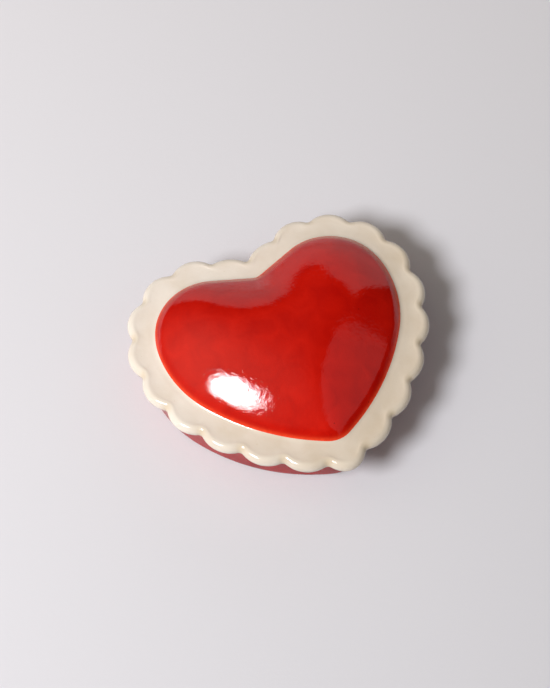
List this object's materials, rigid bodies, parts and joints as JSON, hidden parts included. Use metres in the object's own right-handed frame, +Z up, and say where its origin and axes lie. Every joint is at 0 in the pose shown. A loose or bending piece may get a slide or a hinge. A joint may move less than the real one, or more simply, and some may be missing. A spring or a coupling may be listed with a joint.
{
  "type": "trinket box",
  "caption": "Heart-shaped glazed ceramic trinket box with a domed red lid on a cream scalloped rim, lifting off a red base",
  "frame": {"origin": "on the surface the box stands on, under the middle of its outer limits", "axes": "+Z up; the heart's tip points to -Y and its notch to +Y; X runs across the two lobes"},
  "size_m": [0.1262, 0.1136, 0.0432],
  "materials": {
    "red_glaze": "gloss",
    "cream_glaze": "gloss",
    "bare_clay": "matte"
  },
  "bodies": {
    "base": {"base_shell": "red_glaze", "base_foot_ring": "bare_clay"},
    "lid": {"lid_flange": "cream_glaze", "lid_dome": "red_glaze", "lid_locating_ring": "cream_glaze", "lid_ring_edge": "bare_clay"}
  },
  "joints": [
    {"name": "lid_lift", "type": "slide", "parent": "base", "child": "lid", "axis": [0, 0, 1], "range_m": [0, 0.05]}
  ]
}
